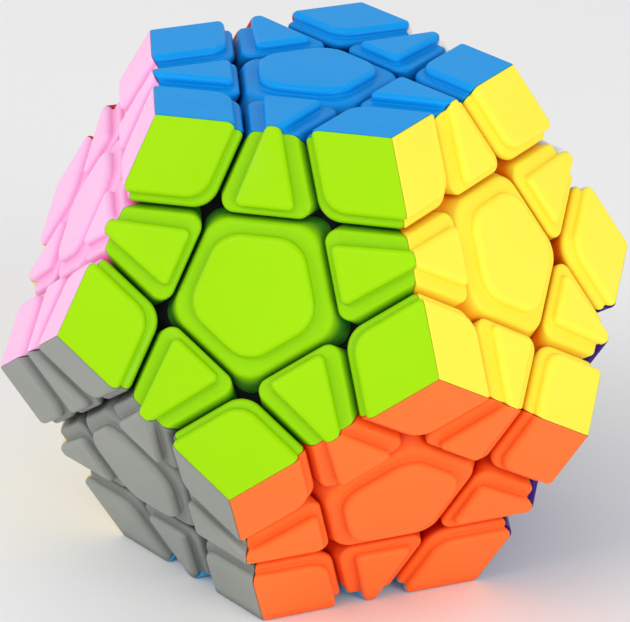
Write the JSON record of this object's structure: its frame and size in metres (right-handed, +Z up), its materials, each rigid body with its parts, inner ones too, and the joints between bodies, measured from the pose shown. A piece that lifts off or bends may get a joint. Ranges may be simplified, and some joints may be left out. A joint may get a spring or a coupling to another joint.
{
  "type": "dodecahedron twisty puzzle",
  "caption": "Stickerless twelve-sided twisty puzzle with sculpted raised tiles, one colour a face, on sprung centres round a screwed core.",
  "frame": {"origin": "centre of the core, where all twelve turning axes meet", "axes": "+Z up through the blue face, the lime face to the front and tilted up towards -Y, the puzzle resting on its sky face at -Z"},
  "size_m": [0.0788, 0.0828, 0.067],
  "materials": {
    "blue_plastic": "satin moulded colour",
    "lime_plastic": "satin moulded colour",
    "yellow_plastic": "satin moulded colour",
    "white_plastic": "satin moulded colour",
    "red_plastic": "satin moulded colour",
    "pink_plastic": "satin moulded colour",
    "orange_plastic": "satin moulded colour",
    "purple_plastic": "satin moulded colour",
    "green_plastic": "satin moulded colour",
    "cream_plastic": "satin moulded colour",
    "grey_plastic": "satin moulded colour",
    "sky_plastic": "satin moulded colour",
    "mechanism_plastic": "matte moulded black",
    "core_plastic": "matte moulded",
    "steel": "bright zinc plated"
  },
  "bodies": {
    "fixed": {"core": "core_plastic", "centre_screws": "steel", "washers": "steel", "springs": "steel", "rest_centre_bodies": "mechanism_plastic", "rest_edge_feet": "mechanism_plastic", "rest_corner_feet": "mechanism_plastic", "lime_cap": "lime_plastic", "yellow_cap": "yellow_plastic", "white_cap": "white_plastic", "red_cap": "red_plastic", "pink_cap": "pink_plastic", "purple_cap": "purple_plastic", "green_cap": "green_plastic", "grey_cap": "grey_plastic", "sky_cap": "sky_plastic", "rest_lime_tiles": "lime_plastic", "rest_yellow_tiles": "yellow_plastic", "rest_white_tiles": "white_plastic", "rest_red_tiles": "red_plastic", "rest_pink_tiles": "pink_plastic", "rest_purple_tiles": "purple_plastic", "rest_green_tiles": "green_plastic", "rest_grey_tiles": "grey_plastic", "rest_sky_tiles": "sky_plastic"},
    "blue_layer": {"blue_layer_centre_body": "mechanism_plastic", "blue_layer_edge_feet": "mechanism_plastic", "blue_layer_corner_feet": "mechanism_plastic", "blue_cap": "blue_plastic", "blue_edge_tiles": "blue_plastic", "blue_corner_tiles": "blue_plastic", "blue_layer_lime_tiles": "lime_plastic", "blue_layer_yellow_tiles": "yellow_plastic", "blue_layer_white_tiles": "white_plastic", "blue_layer_red_tiles": "red_plastic", "blue_layer_pink_tiles": "pink_plastic"},
    "orange_layer": {"orange_layer_centre_body": "mechanism_plastic", "orange_layer_edge_feet": "mechanism_plastic", "orange_layer_corner_feet": "mechanism_plastic", "orange_cap": "orange_plastic", "orange_edge_tiles": "orange_plastic", "orange_corner_tiles": "orange_plastic", "orange_layer_lime_tiles": "lime_plastic", "orange_layer_yellow_tiles": "yellow_plastic", "orange_layer_purple_tiles": "purple_plastic", "orange_layer_grey_tiles": "grey_plastic", "orange_layer_sky_tiles": "sky_plastic"},
    "cream_layer": {"cream_layer_centre_body": "mechanism_plastic", "cream_layer_edge_feet": "mechanism_plastic", "cream_layer_corner_feet": "mechanism_plastic", "cream_cap": "cream_plastic", "cream_edge_tiles": "cream_plastic", "cream_corner_tiles": "cream_plastic", "cream_layer_red_tiles": "red_plastic", "cream_layer_pink_tiles": "pink_plastic", "cream_layer_green_tiles": "green_plastic", "cream_layer_grey_tiles": "grey_plastic", "cream_layer_sky_tiles": "sky_plastic"}
  },
  "joints": [
    {"name": "blue_turn", "type": "hinge", "parent": "fixed", "child": "blue_layer", "pos_m": [0, 0, 0], "axis": [0, 0, 1], "continuous": true},
    {"name": "orange_turn", "type": "hinge", "parent": "fixed", "child": "orange_layer", "pos_m": [0, 0, 0], "axis": [0.5257, -0.7236, -0.4472], "continuous": true},
    {"name": "cream_turn", "type": "hinge", "parent": "fixed", "child": "cream_layer", "pos_m": [0, 0, 0], "axis": [-0.8507, 0.2764, -0.4472], "continuous": true}
  ]
}
